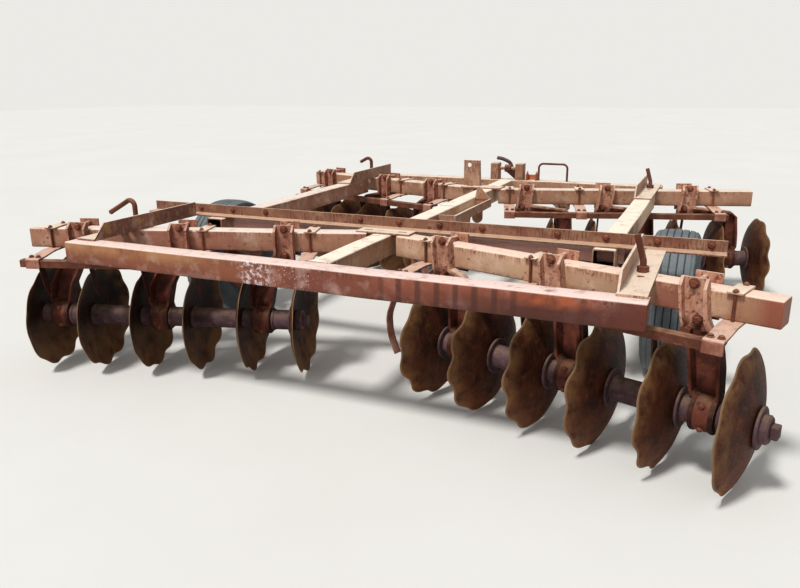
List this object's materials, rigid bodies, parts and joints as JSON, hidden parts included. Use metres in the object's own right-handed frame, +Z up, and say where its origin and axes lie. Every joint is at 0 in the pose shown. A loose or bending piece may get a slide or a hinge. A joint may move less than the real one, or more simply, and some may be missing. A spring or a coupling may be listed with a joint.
{
  "type": "tandem disc harrow",
  "caption": "Trailed tandem disc harrow: gangs of notched discs in an X under a box-tube frame, with two lift wheels on a cranked cross shaft and a hinged drawbar.",
  "frame": {"origin": "on the ground, under the middle of the harrow's outline", "axes": "+X right, +Y the way of travel, towards the hitch, +Z up"},
  "size_m": [3.8142, 4.7549, 0.931],
  "materials": {
    "cream_paint": "faded, dusty and rust-streaked enamel",
    "red_paint": "faded enamel with drips of rust",
    "rusted_steel": "brown rust with soil",
    "plated_rod": "dull plating",
    "tyre_rubber": "sun-bleached rubber"
  },
  "bodies": {
    "frame": {"rear_tube": "red_paint", "front_tube": "cream_paint", "middle_tube": "cream_paint", "left_side_tube": "cream_paint", "right_side_tube": "cream_paint", "rear_angle_iron": "red_paint", "rear_joint_plate": "cream_paint", "front_joint_plate": "cream_paint", "rear_corner_brackets": "cream_paint", "front_corner_brackets": "cream_paint", "rear_right_beam": "cream_paint", "rear_left_beam": "cream_paint", "front_right_beam": "cream_paint", "front_left_beam": "cream_paint", "rear_right_hangers": "red_paint", "rear_left_hangers": "red_paint", "front_right_hangers": "red_paint", "front_left_hangers": "red_paint", "rear_right_scraper": "rusted_steel", "rear_left_scraper": "rusted_steel", "front_right_scraper": "rusted_steel", "front_left_scraper": "rusted_steel", "gang_pins": "rusted_steel", "cylinder_bracket": "cream_paint", "hitch_mast": "cream_paint", "hose_loop": "rusted_steel"},
    "rear_right_gang": {"rear_right_discs": "rusted_steel", "rear_right_axle": "rusted_steel"},
    "rear_left_gang": {"rear_left_discs": "rusted_steel", "rear_left_axle": "rusted_steel"},
    "front_right_gang": {"front_right_discs": "rusted_steel", "front_right_axle": "rusted_steel"},
    "front_left_gang": {"front_left_discs": "rusted_steel", "front_left_axle": "rusted_steel"},
    "lift_arms": {"lift_shaft": "red_paint", "right_wheel_arm": "red_paint", "left_wheel_arm": "red_paint"},
    "right_wheel": {"right_rim": "red_paint", "right_tyre": "tyre_rubber"},
    "left_wheel": {"left_rim": "red_paint", "left_tyre": "tyre_rubber"},
    "lift_barrel": {"lift_barrel": "rusted_steel"},
    "lift_rod": {"lift_rod": "plated_rod"},
    "drawbar": {"drawbar": "cream_paint"},
    "levelling_tube": {"levelling_tube": "rusted_steel"},
    "levelling_rod": {"levelling_rod": "rusted_steel"}
  },
  "joints": [
    {"name": "rear_right_gang_spin", "type": "hinge", "parent": "frame", "child": "rear_right_gang", "pos_m": [1.09401, -1.92447, 0.28], "axis": [-0.9563, 0.2924, 0], "continuous": true},
    {"name": "rear_left_gang_spin", "type": "hinge", "parent": "frame", "child": "rear_left_gang", "pos_m": [-1.09401, -1.92447, 0.28], "axis": [-0.9563, -0.2924, 0], "continuous": true},
    {"name": "front_right_gang_spin", "type": "hinge", "parent": "frame", "child": "front_right_gang", "pos_m": [1.09401, 0.45747, 0.28], "axis": [-0.9563, -0.2924, 0], "continuous": true},
    {"name": "front_left_gang_spin", "type": "hinge", "parent": "frame", "child": "front_left_gang", "pos_m": [-1.09401, 0.45747, 0.28], "axis": [-0.9563, 0.2924, 0], "continuous": true},
    {"name": "wheel_lift", "type": "hinge", "parent": "frame", "child": "lift_arms", "pos_m": [0, -1.327, 0.6835], "axis": [-1, 0, 0], "range_deg": [-30, 25]},
    {"name": "right_wheel_spin", "type": "hinge", "parent": "lift_arms", "child": "right_wheel", "pos_m": [1.38, -0.95406, 0.375], "axis": [-1, 0, 0], "continuous": true},
    {"name": "left_wheel_spin", "type": "hinge", "parent": "lift_arms", "child": "left_wheel", "pos_m": [-1.38, -0.95406, 0.375], "axis": [-1, 0, 0], "continuous": true},
    {"name": "cylinder_swing", "type": "hinge", "parent": "frame", "child": "lift_barrel", "pos_m": [0.128, -0.707, 0.54], "axis": [1, 0, 0], "range_deg": [-2.2, 0.1]},
    {"name": "cylinder_stroke", "type": "slide", "parent": "lift_barrel", "child": "lift_rod", "axis": [0, -0.9959, -0.0908], "range_m": [-0.103, 0.086]},
    {"name": "drawbar_swing", "type": "hinge", "parent": "frame", "child": "drawbar", "pos_m": [0, 0.808, 0.56], "axis": [1, 0, 0], "range_deg": [-12, 10]},
    {"name": "levelling_swing", "type": "hinge", "parent": "frame", "child": "levelling_tube", "pos_m": [0, 0.808, 0.821], "axis": [1, 0, 0], "range_deg": [-10.5, 9.1]},
    {"name": "levelling_screw", "type": "slide", "parent": "levelling_tube", "child": "levelling_rod", "axis": [0, -0.9452, 0.3264], "range_m": [-0.052, 0.045]}
  ],
  "couplings": [
    {"joint": "cylinder_swing", "follows": "wheel_lift", "ratio": -0.001651},
    {"joint": "cylinder_stroke", "follows": "wheel_lift", "m_per_rad": 0.19539},
    {"joint": "levelling_swing", "follows": "drawbar_swing", "ratio": 0.86866},
    {"joint": "levelling_screw", "follows": "drawbar_swing", "m_per_rad": 0.24413}
  ]
}
